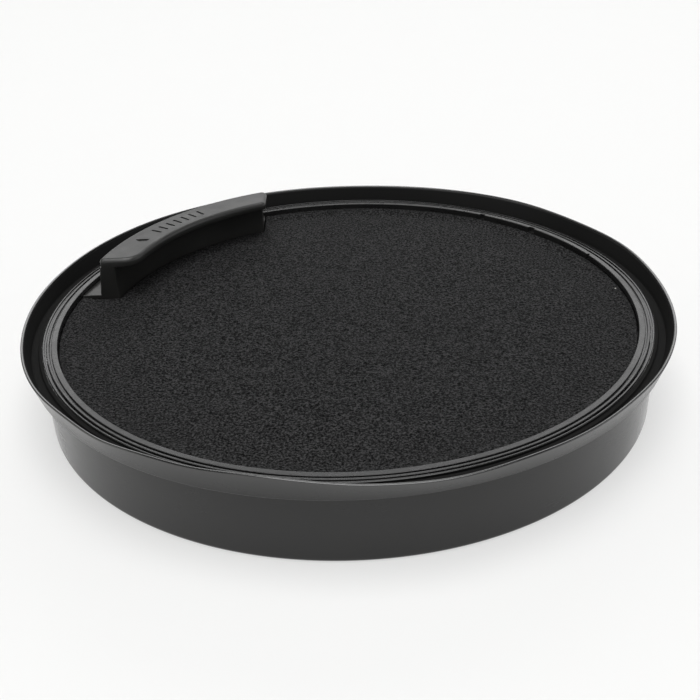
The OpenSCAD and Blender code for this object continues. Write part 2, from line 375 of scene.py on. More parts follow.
def bump(a, centre, width):
    """A smooth hill of height 1 round an azimuth. a is in radians, centre and width in degrees."""
    away = (math.degrees(a) - centre + 180) % 360 - 180
    return math.exp(-0.5 * (away / width) ** 2)


# ---------------------------------------------------------------- node trees


def feed(tree, node, inputs):
    """Gives a node its inputs. Each is a value, or the socket that feeds it."""
    for key, value in inputs.items():
        if isinstance(value, bpy.types.NodeSocket):
            tree.links.new(value, node.inputs[key])
        else:
            node.inputs[key].default_value = value


def add(tree, kind, inputs=None, **settings):
    """Adds a node with its inputs and settings."""
    made = tree.nodes.new(kind)
    for key, value in settings.items():
        setattr(made, key, value)
    feed(tree, made, inputs or {})
    return made


def maths(tree, operation, a, b=0.0, c=0.0):
    """The result of a Math node."""
    return add(tree, "ShaderNodeMath", {0: a, 1: b, 2: c}, operation=operation).outputs[0]


def times(tree, a, b):
    """The product of two values."""
    return maths(tree, "MULTIPLY", a, b)


def xyz(tree, x=0.0, y=0.0, z=0.0):
    """A vector from its three parts."""
    return add(tree, "ShaderNodeCombineXYZ", {0: x, 1: y, 2: z}).outputs[0]


def ranged(tree, value, low, high, to_low, to_high, smooth=False):
    """A value carried from one range to another, kept within it."""
    made = add(
        tree,
        "ShaderNodeMapRange",
        {"Value": value, "From Min": low, "From Max": high, "To Min": to_low, "To Max": to_high},
        interpolation_type="SMOOTHSTEP" if smooth else "LINEAR",
    )
    return made.outputs["Result"]


def noise_at(tree, place, scale, detail=2.0, roughness=0.5):
    """The value of a noise texture."""
    made = add(
        tree, "ShaderNodeTexNoise", {"Vector": place, "Scale": scale, "Detail": detail, "Roughness": roughness}
    )
    return made.outputs["Fac"]


def stretched(tree, place, scale):
    """Coordinates scaled along each axis."""
    return add(tree, "ShaderNodeMapping", {"Vector": place, "Scale": scale}).outputs[0]


def mixed(tree, amount, low, high):
    """A colour between two colours."""
    low, high = (value if isinstance(value, bpy.types.NodeSocket) else (*value, 1) for value in (low, high))
    return add(tree, "ShaderNodeMix", {"Factor": amount, 6: low, 7: high}, data_type="RGBA").outputs[2]


def specks(tree, place, scale, channel, size, rarity):
    """1 on small round specks. The cells' random colour picks the few that carry one."""
    cells = add(tree, "ShaderNodeTexVoronoi", {"Vector": place, "Scale": scale}).outputs
    random = add(tree, "ShaderNodeSeparateColor", {"Color": cells["Color"]}).outputs[channel]
    near = maths(tree, "LESS_THAN", cells["Distance"], size)
    return times(tree, near, maths(tree, "GREATER_THAN", random, rarity))


def bumped(tree, height, distance, strength):
    """A normal that carries a height."""
    inputs = {"Height": height, "Distance": distance, "Strength": strength}
    return add(tree, "ShaderNodeBump", inputs).outputs["Normal"]


def new_material(name):
    """An empty material with a shader and its output, and object coordinates."""
    made = bpy.data.materials.new(name)
    made.use_nodes = True
    tree = made.node_tree
    tree.nodes.clear()
    shader = add(tree, "ShaderNodeBsdfPrincipled")
    add(tree, "ShaderNodeOutputMaterial", {"Surface": shader.outputs["BSDF"]})
    place = add(tree, "ShaderNodeTexCoord").outputs["Object"]
    return made, tree, shader, place


def brighter(base, factor):
    """A colour made lighter or darker."""
    return tuple(min(c * factor, 1.0) for c in base)


def moulded_plastic(name, base, roughness, grain=900.0, depth=0.012 * MM, edge_wear_and_highlight=0.5, dust=0.0, sheen=0.0):
    """Satin black moulded plastic: fine grain, slow changes of gloss, paler edges that are partly wear and partly a
    painted highlight, a little dust.
    """
    made, tree, shader, place = new_material(name)
    slow = noise_at(tree, place, 55.0, 4.0)
    fine = noise_at(tree, place, grain, 3.0, 0.6)
    streak = noise_at(tree, stretched(tree, place, (260.0, 260.0, 2600.0)), 1.0, 3.0, 0.7)
    tone = mixed(tree, ranged(tree, slow, 0.3, 0.7, 0.0, 1.0), brighter(base, 0.82), brighter(base, 1.2))
    # Pointed edges are painted paler: partly wear, partly a painted highlight along the rims
    point = add(tree, "ShaderNodeNewGeometry").outputs["Pointiness"]
    wear_and_highlight = times(tree, ranged(tree, point, 0.52, 0.62, 0.0, edge_wear_and_highlight), streak)
    tone = mixed(tree, wear_and_highlight, tone, brighter(base, 3.0))
    if dust > 0:
        tone = mixed(tree, specks(tree, place, 260.0, "Red", 0.07, 1.0 - dust), tone, (0.5, 0.5, 0.48))
    gloss = maths(tree, "ADD", ranged(tree, slow, 0.25, 0.75, -0.04, 0.05), ranged(tree, streak, 0.3, 0.7, -0.03, 0.04))
    finish = {
        "Base Color": tone,
        "Roughness": maths(tree, "ADD", gloss, roughness),
        "Normal": bumped(tree, fine, depth, 0.6),
        "IOR": 1.5,
        "Sheen Weight": sheen,
        "Sheen Roughness": 0.2,
    }
    feed(tree, shader, finish)
    return made


def soft_rubber(name, base, roughness):
    """Smooth black rubber with a soft bloom and pale specks of dust.

    The piece's dull attribute is 1 where its skin is matte and below 0 where it shines.
    """
    made, tree, shader, place = new_material(name)
    bloom = noise_at(tree, place, 38.0, 5.0, 0.62)
    fine = noise_at(tree, place, 1400.0, 2.0)
    dull = add(tree, "ShaderNodeAttribute", attribute_name="dull").outputs["Fac"]
    tone = mixed(tree, ranged(tree, bloom, 0.35, 0.7, 0.0, 1.0), brighter(base, 0.85), brighter(base, 1.3))
    tone = mixed(tree, ranged(tree, dull, 0.0, 1.0, 0.0, 1.0), tone, brighter(base, 1.6))
    gloss = maths(tree, "ADD", ranged(tree, bloom, 0.3, 0.7, -0.06, 0.08), roughness)
    gloss = maths(tree, "ADD", gloss, ranged(tree, dull, LIP_SHINE, 0.0, -0.12, 0.0))
    shader.inputs["Specular IOR Level"].default_value = 0.45
    finish = {
        "Base Color": mixed(tree, specks(tree, place, 190.0, "Green", 0.06, 0.93), tone, (0.42, 0.42, 0.4)),
        "Roughness": ranged(tree, dull, 0.0, 1.0, gloss, 0.88),
        "Specular IOR Level": ranged(tree, dull, LIP_SHINE, 1.0, 1.0, 0.05),
        "Normal": bumped(tree, fine, 0.006 * MM, 0.5),
        "IOR": 1.5,
    }
    feed(tree, shader, finish)
    return made


def open_foam(name, base):
    """Open-cell foam: dark pores between pale struts, over a coarser mottling, with lint caught in it."""
    made, tree, shader, place = new_material(name)
    pore = add(tree, "ShaderNodeTexVoronoi", {"Vector": place, "Scale": 2100.0}).outputs["Distance"]
    mottle = noise_at(tree, place, 1500.0, 3.0, 0.7)
    slow = noise_at(tree, place, 28.0, 3.0)
    strut = ranged(tree, pore, 0.1, 0.8, 0.0, 1.0)
    light = times(tree, strut, ranged(tree, mottle, 0.38, 0.7, 0.0, 1.7))
    tone = mixed(tree, light, brighter(base, 0.1), brighter(base, 4.6))
    tone = mixed(tree, ranged(tree, slow, 0.3, 0.7, 0.0, 0.22), tone, brighter(base, 1.9))
    height = maths(tree, "ADD", times(tree, pore, 0.7), times(tree, mottle, 0.6))
    shader.inputs["Specular IOR Level"].default_value = 0.12
    finish = {
        "Base Color": mixed(tree, specks(tree, place, 95.0, "Blue", 0.03, 0.93), tone, (0.6, 0.6, 0.58)),
        "Roughness": 0.75,
        "Specular IOR Level": ranged(tree, light, 0.0, 1.0, 0.03, 0.3),
        "Normal": bumped(tree, height, 0.35 * MM, 0.9),
    }
    feed(tree, shader, finish)
    return made


def filter_paper(name, base):
    """Off-white non-woven filter paper with visible fibres."""
    made, tree, shader, place = new_material(name)
    ways = ((900.0, 180.0, 900.0), (200.0, 1000.0, 700.0))
    fibres = maths(tree, "MAXIMUM", *(noise_at(tree, stretched(tree, place, way), 1.0, 4.0, 0.7) for way in ways))
    slow = noise_at(tree, place, 40.0, 2.0)
    tone = mixed(tree, ranged(tree, fibres, 0.45, 0.75, 0.0, 1.0), brighter(base, 0.82), brighter(base, 1.08))
    finish = {
        "Base Color": mixed(tree, ranged(tree, slow, 0.3, 0.7, 0.0, 0.25), tone, brighter(base, 0.86)),
        "Roughness": 0.9,
        "Specular IOR Level": 0.2,
        "Normal": bumped(tree, fibres, 0.12 * MM, 0.8),
    }
    feed(tree, shader, finish)
    return made


def poured_sealant(name, base):
    """Poured sealant with a soft sheen and slow waves."""
    made, tree, shader, place = new_material(name)
    slow = noise_at(tree, place, 70.0, 4.0)
    finish = {
        "Base Color": mixed(tree, ranged(tree, slow, 0.3, 0.7, 0.0, 1.0), brighter(base, 0.8), brighter(base, 1.15)),
        "Roughness": ranged(tree, slow, 0.3, 0.7, 0.32, 0.5),
        "Normal": bumped(tree, slow, 0.5 * MM, 0.5),
    }
    feed(tree, shader, finish)
    return made


def give(piece, material, body, slot, *nodes):
    """Gives a finished piece its material and its body, and hides the nodes that it stands for. The slot is not used.
    """
    piece.data.materials.clear()
    piece.data.materials.append(material)
    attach(piece, body)
    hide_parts(*nodes)


# ---------------------------------------------------------------- geometry node trees


def geometry_tree(name, sizes):
    """A geometry tree with named inputs: a number each for sizes, which holds their defaults, and a material."""
    tree = bpy.data.node_groups.new(name, "GeometryNodeTree")
    for label, default in sizes.items():
        kind = "NodeSocketInt" if isinstance(default, int) else "NodeSocketFloat"
        tree.interface.new_socket(label, in_out="INPUT", socket_type=kind).default_value = default
    tree.interface.new_socket("Material", in_out="INPUT", socket_type="NodeSocketMaterial")
    tree.interface.new_socket("Geometry", in_out="OUTPUT", socket_type="NodeSocketGeometry")
    return tree, tree.nodes.new("NodeGroupInput").outputs


def close_tree(tree, shape, material):
    """Ends a tree in real geometry with a material."""
    dressed = add(tree, "GeometryNodeSetMaterial", {"Geometry": real_copies(tree, shape), "Material": material})
    add(tree, "NodeGroupOutput", {0: dressed.outputs[0]})


def grown(name, tree, values):
    """Runs a tree on an empty mesh and returns the result as a plain mesh object."""
    source = bpy.data.objects.new(name + "_source", bpy.data.meshes.new(name + "_source"))
    bpy.context.scene.collection.objects.link(source)
    modifier = source.modifiers.new("Nodes", "NODES")
    modifier.node_group = tree
    by_name = {s.name: s.identifier for s in tree.interface.items_tree if s.in_out == "INPUT"}
    for label, value in values.items():
        modifier[by_name[label]] = value
    source.update_tag()
    shape = plain_mesh(source)
    bpy.data.objects.remove(source)
    piece = bpy.data.objects.new(name, shape)
    bpy.context.scene.collection.objects.link(piece)
    return piece


def join_shapes(tree, *shapes):
    """All the shapes as one."""
    joined = add(tree, "GeometryNodeJoinGeometry")
    for shape in shapes:
        tree.links.new(shape, joined.inputs[0])
    return joined.outputs[0]


def ring_path(tree, radius, points):
    """A circle to sweep along, or to sweep."""
    return add(tree, "GeometryNodeCurvePrimitiveCircle", {"Resolution": points, "Radius": radius}).outputs[0]


def swept_bar(tree, path, ins, width, caps):
    """A rounded bar, as thick as the grille, swept along a level path."""
    bar = add(tree, "GeometryNodeCurvePrimitiveQuadrilateral", {"Width": width, "Height": ins["Thickness"]})
    edges = {"Curve": bar.outputs[0], "Radius": ins["Rounding"], "Count": 2}
    profile = add(tree, "GeometryNodeFilletCurve", edges, mode="POLY").outputs[0]
    level = add(tree, "GeometryNodeSetCurveNormal", {"Curve": path}, mode="Z_UP").outputs[0]
    sweep = {"Curve": level, "Profile Curve": profile, "Fill Caps": caps}
    return add(tree, "GeometryNodeCurveToMesh", sweep).outputs[0]


def repeated(tree, shape, number, how, place=None):
    """A shape repeated on as many points. how holds the copies' Scale or Rotation."""
    points = add(tree, "GeometryNodePoints", {"Count": number, **({"Position": place} if place else {})})
    return add(tree, "GeometryNodeInstanceOnPoints", {"Points": points.outputs[0], "Instance": shape, **how}).outputs[0]


def raised(tree, shape, height):
    """The shape moved up."""
    return add(tree, "GeometryNodeTransform", {"Geometry": shape, "Translation": xyz(tree, z=height)}).outputs[0]


def real_copies(tree, shape):
    """Turns instances into real geometry."""
    return add(tree, "GeometryNodeRealizeInstances", {"Geometry": shape}).outputs[0]


def position(tree):
    """The three parts of each point's position."""
    return add(tree, "ShaderNodeSeparateXYZ", {0: add(tree, "GeometryNodeInputPosition").outputs[0]}).outputs


def half_chord(tree, radius, x, least):
    """Half the width of a circle at a distance from its middle."""
    square = maths(tree, "SUBTRACT", times(tree, radius, radius), times(tree, x, x))
    return maths(tree, "SQRT", maths(tree, "MAXIMUM", square, least))


def grille_tree():
    """An open grille: a hub, a rim band, evenly spaced round ribs and straight ribs."""
    tree, ins = geometry_tree(
        "Round Grille",
        {
            "Hub Radius": 9 * MM,
            "Band Inner Radius": 78 * MM,
            "Band Outer Radius": 84 * MM,
            "Thickness": 1.6 * MM,
            "Middle Height": 0.0,
            "Rib Width": 1.4 * MM,
            "Rib Pitch": 12 * MM,
            "Rounding": 0.25 * MM,
            "Ring Count": 5,
            "Spokes": 24,
        },
    )
    index = add(tree, "GeometryNodeInputIndex").outputs[0]
    # Round ribs: unit circles scaled to their radii
    radius = maths(tree, "MULTIPLY_ADD", maths(tree, "ADD", index, 1.0), ins["Rib Pitch"], ins["Hub Radius"])
    rings = repeated(tree, ring_path(tree, 1.0, 160), ins["Ring Count"], {"Scale": xyz(tree, radius, radius, 1.0)})
    # Straight ribs: one line turned about Z
    reach = maths(tree, "ADD", ins["Band Inner Radius"], times(tree, ins["Rib Width"], 0.5))
    ends = {"Start": xyz(tree, times(tree, ins["Hub Radius"], 0.9)), "End": xyz(tree, reach)}
    line = add(tree, "GeometryNodeCurvePrimitiveLine", ends).outputs[0]
    turned = xyz(tree, z=times(tree, index, maths(tree, "DIVIDE", TURN, ins["Spokes"])))
    spokes = repeated(tree, line, ins["Spokes"], {"Rotation": turned})
    paths = real_copies(tree, join_shapes(tree, rings, spokes))
    ribs = swept_bar(tree, paths, ins, ins["Rib Width"], True)
    # Rim band and hub
    middle = times(tree, maths(tree, "ADD", ins["Band Inner Radius"], ins["Band Outer Radius"]), 0.5)
    width = maths(tree, "SUBTRACT", ins["Band Outer Radius"], ins["Band Inner Radius"])
    band = swept_bar(tree, ring_path(tree, middle, 256), ins, width, False)
    disc = {"Vertices": 64, "Radius": ins["Hub Radius"], "Depth": ins["Thickness"]}
    hub = add(tree, "GeometryNodeMeshCylinder", disc).outputs[0]
    close_tree(tree, raised(tree, join_shapes(tree, ribs, band, hub), ins["Middle Height"]), ins["Material"])
    return tree


def pleat_tree():
    """Paper folded up and down along X, with each fold as long as the disc is wide there."""
    sizes = {"Radius": 80 * MM, "Low": 0.0, "High": 7 * MM, "Pitch": 4 * MM, "Columns": 650}
    tree, ins = geometry_tree("Pleated Disc", sizes)
    grid = {"Size X": times(tree, ins["Radius"], 2.0), "Size Y": 2.0, "Vertices X": ins["Columns"], "Vertices Y": 13}
    sheet = add(tree, "GeometryNodeMeshGrid", grid).outputs[0]
    x, across, _ = position(tree)
    y = times(tree, across, half_chord(tree, ins["Radius"], x, 1e-10))
    fold = maths(tree, "PINGPONG", maths(tree, "DIVIDE", x, ins["Pitch"]), 0.5)
    wave = ranged(tree, fold, 0.045, 0.455, 0.0, 1.0)
    # The folds sag a little here and there
    noisy = maths(tree, "SUBTRACT", noise_at(tree, xyz(tree, x, y), 60.0, 2.0), 0.5)
    sag = times(tree, times(tree, noisy, 0.10), wave)
    z = ranged(tree, maths(tree, "ADD", wave, sag), 0.0, 1.1, ins["Low"], ins["High"])
    moved = add(tree, "GeometryNodeSetPosition", {"Geometry": sheet, "Position": xyz(tree, x, y, z)}).outputs[0]
    close_tree(tree, moved, ins["Material"])
    return tree


def net_tree():
    """Two layers of parallel strands that cross, trimmed to a disc with a curved piece cut out."""
    tree, ins = geometry_tree(
        "Crossed Net",
        {
            "Radius": 80 * MM,
            "Pitch": 3 * MM,
            "Strand Radius": 0.1 * MM,
            "Middle Height": 0.0,
            "Count": 54,
            "Cut Radius": 63 * MM,
            "Cut From": 1.9,
            "Cut To": 2.97,
        },
    )
    # Each strand is a unit line of short steps, stretched to the disc's width where it lies
    steps = 54
    unit = {"Count": steps + 1, "Start Location": (0, -1, 0), "Offset": (0, 2 / steps, 0)}
    layers = []
    for turn, lift in ((0.0, 1.0), (math.pi / 2, -1.0)):
        index = add(tree, "GeometryNodeInputIndex").outputs[0]
        half = times(tree, maths(tree, "SUBTRACT", ins["Count"], 1.0), 0.5)
        x = times(tree, maths(tree, "SUBTRACT", index, half), ins["Pitch"])
        place = xyz(tree, x, z=times(tree, ins["Strand Radius"], lift))
        size = xyz(tree, 1.0, half_chord(tree, ins["Radius"], x, 1e-8), 1.0)
        line = add(tree, "GeometryNodeMeshLine", unit).outputs[0]
        real = real_copies(tree, repeated(tree, line, ins["Count"], {"Scale": size}, place))
        layers.append(add(tree, "GeometryNodeTransform", {"Geometry": real, "Rotation": (0, 0, turn)}).outputs[0])
    x, y, _ = position(tree)
    radius = maths(tree, "SQRT", maths(tree, "ADD", times(tree, x, x), times(tree, y, y)))
    angle = maths(tree, "ARCTAN2", y, x)
    between = times(
        tree, maths(tree, "GREATER_THAN", angle, ins["Cut From"]), maths(tree, "LESS_THAN", angle, ins["Cut To"])
    )
    cut = {
        "Geometry": join_shapes(tree, *layers),
        "Selection": times(tree, maths(tree, "GREATER_THAN", radius, ins["Cut Radius"]), between),
    }
    kept = add(tree, "GeometryNodeDeleteGeometry", cut, domain="POINT").outputs[0]
    sweep = {
        "Curve": add(tree, "GeometryNodeMeshToCurve", {"Mesh": kept}).outputs[0],
        "Profile Curve": ring_path(tree, ins["Strand Radius"], 6),
        "Fill Caps": True,
    }
    thick = add(tree, "GeometryNodeCurveToMesh", sweep).outputs[0]
    close_tree(tree, raised(tree, thick, ins["Middle Height"]), ins["Material"])
    return tree


# ---------------------------------------------------------------- pieces


class CARTRIDGE_OT_drum(bpy.types.Operator):
    """Builds the drum's wall with its rounded foot, flange and thin rim"""

    bl_idname = "cartridge.drum"
    bl_label = "Drum"

    def execute(self, context):
        s = context.scene.cartridge_drum
        rim_r = DRUM_R - s.rim_step
        # A low bead inside the rim almost closes the gap round the insert
        bead_r, bead_top, bead_low = FRAME_R + 0.12 * MM, DRUM_H - 0.55 * MM, DRUM_H - 2.0 * MM
        outline = rounded(
            [
                (DRUM_R - s.foot_width, 0.0, 0.2 * MM),
                (DRUM_R, 0.0, s.foot_round),
                (DRUM_R, SEAL_Z),
                (rim_r, SEAL_Z),
                (rim_r, DRUM_H, 0.28 * MM),
                (BORE_R, DRUM_H, 0.12 * MM),
                (BORE_R, bead_top + 0.1 * MM, 0.1 * MM),
                (bead_r, bead_top, 0.1 * MM),
                (bead_r, bead_low, 0.1 * MM),
                (BORE_R, bead_low - 0.6 * MM),
                (BORE_R, s.foot_thickness),
                (DRUM_R - s.foot_width, s.foot_thickness, 0.2 * MM),
            ]
        )
        piece = lathe("drum_wall", outline, even_azimuths(384))
        material = moulded_plastic("Drum Plastic", s.colour, s.roughness, dust=0.02, sheen=0.7)
        give(piece, material, "drum", "drum_plastic", "drum_shell")
        return {"FINISHED"}


# Waves of the free lip: azimuth and width in degrees, then how far it moves out and up
LIP_WAVES = [
    (-155, 9, 0.7 * MM, 0.0),
    (-146, 6, 0.4 * MM, 0.0),
    (-130, 5, 0.5 * MM, -0.5 * MM),
    (-113, 5, 0.0, -0.55 * MM),
    (-106, 9, -1.0 * MM, 0.0),
    (-95, 6, 0.0, -0.35 * MM),
    (-89, 4, 0.0, -0.3 * MM),
    (-84, 7, 0.05 * MM, -0.55 * MM),
    (-76, 7, 0.7 * MM, -1.0 * MM),
    (-66, 8, 0.0, -0.35 * MM),
    (-57, 9, 0.6 * MM, -0.1 * MM),
    (-48, 12, 0.0, -0.9 * MM),
    (-34, 5, 0.35 * MM, 0.0),
    (-23, 10, 0.8 * MM, 0.0),
    (18, 7, 0.7 * MM, 0.0),
    (47, 7, 0.7 * MM, 0.0),
    (60, 11, 0.8 * MM, 0.0),
    (104, 8, 0.35 * MM, 0.1 * MM),
    (130, 7, 0.5 * MM, 0.0),
    (141, 7, 0.6 * MM, 0.0),
    (153, 7, 0.35 * MM, 0.0),
]


class CARTRIDGE_OT_seal(bpy.types.Operator):
    """Builds the soft seal: a foot on the drum's step, a web, and a thin wavy lip"""

    bl_idname = "cartridge.seal"
    bl_label = "Lip Seal"

    def execute(self, context):
        s = context.scene.cartridge_seal
        rim_r = DRUM_R - context.scene.cartridge_drum.rim_step
        skirt_r = LIP_R - s.lean
        web_z = SEAL_Z + s.web_thickness
        lean = s.lean / (LIP_Z - SEAL_Z)
        trough_z = web_z - 0.25 * MM
        shiny = 0.9 * MM
        outline = rounded(
            [
                (rim_r, SEAL_Z),
                (skirt_r, SEAL_Z, 0.35 * MM),
                (LIP_R, LIP_Z, 0.3 * MM),
                (LIP_R - s.lip_thickness, LIP_Z, 0.3 * MM),
                (LIP_R - s.lip_thickness - lean * shiny, LIP_Z - shiny),
                (skirt_r - s.lip_thickness, trough_z, 0.4 * MM),
                (DRUM_R + 0.5 * MM, trough_z, 0.5 * MM),
                (DRUM_R + 0.25 * MM, SEAL_Z + s.foot_height - 0.05 * MM, 0.2 * MM),
                (rim_r, SEAL_Z + s.foot_height),
            ],
            steps=6,
        )

        def bend(r, z, a):
            free = smoothstep(web_z, LIP_Z, z) * smoothstep(DRUM_R, skirt_r - s.lip_thickness, r) * s.wave
            out, up = (sum(wave[k] * bump(a, *wave[:2]) for wave in LIP_WAVES) for k in (2, 3))
            return r + out * free, z + up * free

        azimuths = even_azimuths(512)
        piece = lathe("seal_lip", outline, azimuths, bend)
        # The trough and the lip's inner face have a duller skin than the outside
        shades = [
            float(r < skirt_r - 0.35 * MM + (z - SEAL_Z) * lean) if z < LIP_Z - 0.5 * MM else LIP_SHINE
            for r, z in outline
        ]
        dull = piece.data.attributes.new("dull", "FLOAT", "POINT")
        dull.data.foreach_set("value", shades * len(azimuths))
        material = soft_rubber("Seal Rubber", s.colour, s.roughness)
        give(piece, material, "drum", "seal_rubber", "lip_seal")
        return {"FINISHED"}


def grille_piece(name, s, band, low, high, material):
    """A grille grown by the shared tree. band is the inner and outer radius of its rim band."""
    sizes = {
        "Hub Radius": s.hub_radius,
        "Band Inner Radius": band[0],
        "Band Outer Radius": band[1],
        "Thickness": high - low,
        "Middle Height": (high + low) / 2,
        "Rib Width": s.rib_width,
        "Rib Pitch": s.rib_pitch,
        "Ring Count": int((band[0] - s.rib_pitch / 2 - s.hub_radius) / s.rib_pitch),
        "Spokes": s.spokes,
        "Material": material,
    }
    return finish_piece(grown(name, bpy.data.node_groups.get("Round Grille") or grille_tree(), sizes))


class CARTRIDGE_OT_outlet(bpy.types.Operator):
    """Builds the grille that closes the outlet side"""

    bl_idname = "cartridge.outlet"
    bl_label = "Outlet Grille"

    def execute(self, context):
        s = context.scene.cartridge_filter
        band = (DRUM_R - context.scene.cartridge_drum.foot_width + 0.5 * MM, GRILLE_R)
        material = moulded_plastic("Grille Plastic", s.grille_colour, 0.45)
        piece = grille_piece("outlet_ribs", s, band, GRILLE_Z, GRILLE_TOP, material)
        give(piece, material, "drum", "grille_plastic", "outlet_grille")
        return {"FINISHED"}


class CARTRIDGE_OT_pleats(bpy.types.Operator):
    """Builds the pleated paper and the sealant round it"""

    bl_idname = "cartridge.pleats"
    bl_label = "Pleated Filter"

    def execute(self, context):
        s = context.scene.cartridge_filter
        paper = filter_paper("Filter Paper", s.paper_colour)
        half = s.paper_thickness / 2
        piece = grown(
            "pleats",
            pleat_tree(),
            {
                "Radius": PLEAT_R,
                "Low": PLEAT_Z + 2 * half,
                "High": PLEAT_TOP - half,
                "Pitch": s.pleat_pitch,
                "Columns": 8 * round(2 * PLEAT_R / s.pleat_pitch) + 1,
                "Material": paper,
            },
        )
        thicken = piece.modifiers.new("Thickness", "SOLIDIFY")
        thicken.thickness = s.paper_thickness
        thicken.offset = 0.0
        apply_modifiers(piece)
        finish_piece(piece, smooth_angle=60)
        give(piece, paper, "drum", "filter_paper", "pleated_filter")

        outline = rounded(
            [
                (PLEAT_R, PLEAT_Z),
                (BORE_R, PLEAT_Z),
                (BORE_R, PLEAT_TOP),
                (PLEAT_R + 0.6 * MM, PLEAT_TOP - 0.7 * MM, 0.6 * MM),
                (PLEAT_R, PLEAT_TOP - 0.5 * MM, 0.2 * MM),
            ]
        )

        def settle(r, z, a):
            wave = noise.noise(Vector((math.cos(a), math.sin(a), 0.3)) * 9) * 0.3 * MM
            return r, z - abs(wave) * smoothstep(PLEAT_Z, PLEAT_TOP, z)

        bead = lathe("sealant_ring", outline, even_azimuths(256), settle)
        give(bead, poured_sealant("Sealant", s.sealant_colour), "drum", "sealant", "potting_bead")
        return {"FINISHED"}


def well_radius(context):
    """Radius of the frame's inner face."""
    return FRAME_R - context.scene.cartridge_frame.wall


# Azimuth of each notch in the frame's inner edge, in degrees, and its share of the notch's width
NOTCHES = [(21, 0.4), (40, 1.0), (54, 0.75)]


class CARTRIDGE_OT_frame(bpy.types.Operator):
    """Builds the lift-out frame: its round wall with a double rim, its open floor and its pad"""

    bl_idname = "cartridge.frame"
    bl_label = "Insert Frame"

    def execute(self, context):
        s = context.scene.cartridge_frame
        g = context.scene.cartridge_grip
        plastic = moulded_plastic("Frame Plastic", s.colour, s.roughness, grain=1500.0, depth=0.03 * MM, dust=0.03)
        well_r = well_radius(context)
        groove_out = FRAME_R - s.outer_rim
        groove_in = groove_out - s.groove_width
        notch_z = DRUM_H - s.notch_height
        edge = 0.14 * MM
        outline = rounded(
            [
                (well_r, FLOOR_TOP),
                (FRAME_R, FLOOR_TOP),
                (FRAME_R, DRUM_H, edge),
                (groove_out, DRUM_H, edge),
                (groove_out, DRUM_H - s.groove_depth, 0.1 * MM),
                (groove_in, DRUM_H - s.groove_depth, 0.1 * MM),
                (groove_in, DRUM_H, edge),
                (well_r, DRUM_H, 0.25 * MM),
                (well_r, notch_z + 0.04 * MM),
                (well_r, notch_z),
            ]
        )
        azimuths = set(even_azimuths(384))
        flank = 0.12 * MM / well_r
        halves = [(math.radians(a), part * s.notch_width / 2 / well_r) for a, part in NOTCHES]
        for middle, half in halves:
            azimuths = {a for a in azimuths if abs(a - middle) > half + 2 * flank}
            azimuths |= {middle + side * (half + out) for side in (-1, 1) for out in (-flank, 0.0, flank)}
            azimuths.add(middle)

        def notch(r, z, a):
            if r > well_r + s.notch_depth or z < notch_z + 0.02 * MM:
                return r, z
            deep = max(1.0 if abs(a - middle) <= half - flank / 2 else 0.0 for middle, half in halves)
            return r + (well_r + s.notch_depth - r) * deep, z

        piece = lathe("frame_wall", outline, sorted(azimuths), notch)
        give(piece, plastic, "insert", "frame_plastic", "insert_frame")

        floor = grille_piece("floor_ribs", s, (well_r - s.rib_width, FRAME_R), FLOOR_Z, FLOOR_TOP, plastic)
        give(floor, plastic, "insert", "frame_plastic", "floor_grille")
        # The pad under the grip's foot
        inner_r = well_r - g.inset - g.wall - PEG_R
        plan = (inner_r, well_r - PLAY, g.end_x + g.end_inset - 1 * MM, g.end_y - 1 * MM)
        pad = plan_slab("grip_pad", plan, FLOOR_Z + 0.3 * MM, PAD_TOP, 0.25 * MM)
        give(pad, plastic, "insert", "frame_plastic", "floor_grille")
        return {"FINISHED"}


def grip_plan(r_in, r_out, end_x, end_y, inner_left, right, outer_left):
    """Plan of a curved bar between the planes x = -end_x and y = end_y, with rounded corners.

    It is given as inner and outer radius, the two planes and the corners' radii.
    """
    # Each corner: the arc it leaves, its side of that arc, whether it lies on x = -end_x, its radius
    corners = (
        (r_in, 1, False, inner_left), (r_in, 1, True, right), (r_out, -1, True, right), (r_out, -1, False, outer_left)
    )
    centres = []
    for r, side, on_x, radius in corners:
        near = (end_x if on_x else end_y) + radius
        far = math.sqrt((r + side * radius) ** 2 - near**2)
        centres.append(Vector((-near, far)) if on_x else Vector((-far, near)))
    points = []
    for index, (centre, (r, side, on_x, radius)) in enumerate(zip(centres, corners)):
        to_arc = math.atan2(centre.y, centre.x) + (math.pi if side > 0 else 0.0)
        to_plane = 0.0 if on_x else -math.pi / 2
        first, last = (to_arc, to_plane) if index % 2 else (to_plane, to_arc)
        sweep = (last - first + math.pi) % TURN - math.pi
        points += [centre + polar(1, first + sweep * step / 8) * radius for step in range(9)]
        if index % 2 == 0:
            start, end = (math.atan2(c.y, c.x) for c in centres[index : index + 2])
            points += [polar(1, start + (end - start) * step / 28) * r for step in range(1, 28)]
    return points


def shrunk(plan, inset):
    """The same plan drawn in by inset."""
    r_in, r_out, end_x, end_y = plan[:4]
    corners = (max(corner - inset, 0.2 * MM) for corner in plan[4:])
    return (r_in + inset, r_out - inset, end_x + inset, end_y + inset, *corners)


def plan_slab(name, sizes, low, high, edge):
    """A curved slab with rounded edges all round."""
    plan = (*sizes, edge, edge, edge)
    turns = quarter_turn(3)
    levels = [(low + edge * up, edge * inward) for up, inward in reversed(turns)]
    levels += [(high - edge * down, edge * inward) for down, inward in turns]
    return lofted(name, [(grip_plan(*shrunk(plan, inset)), z) for z, inset in levels])


# The net's cutout for the grip's foot: its depth from the edge, then its azimuths in degrees
NET_CUT = (13.8 * MM, 108.4, 170.4)


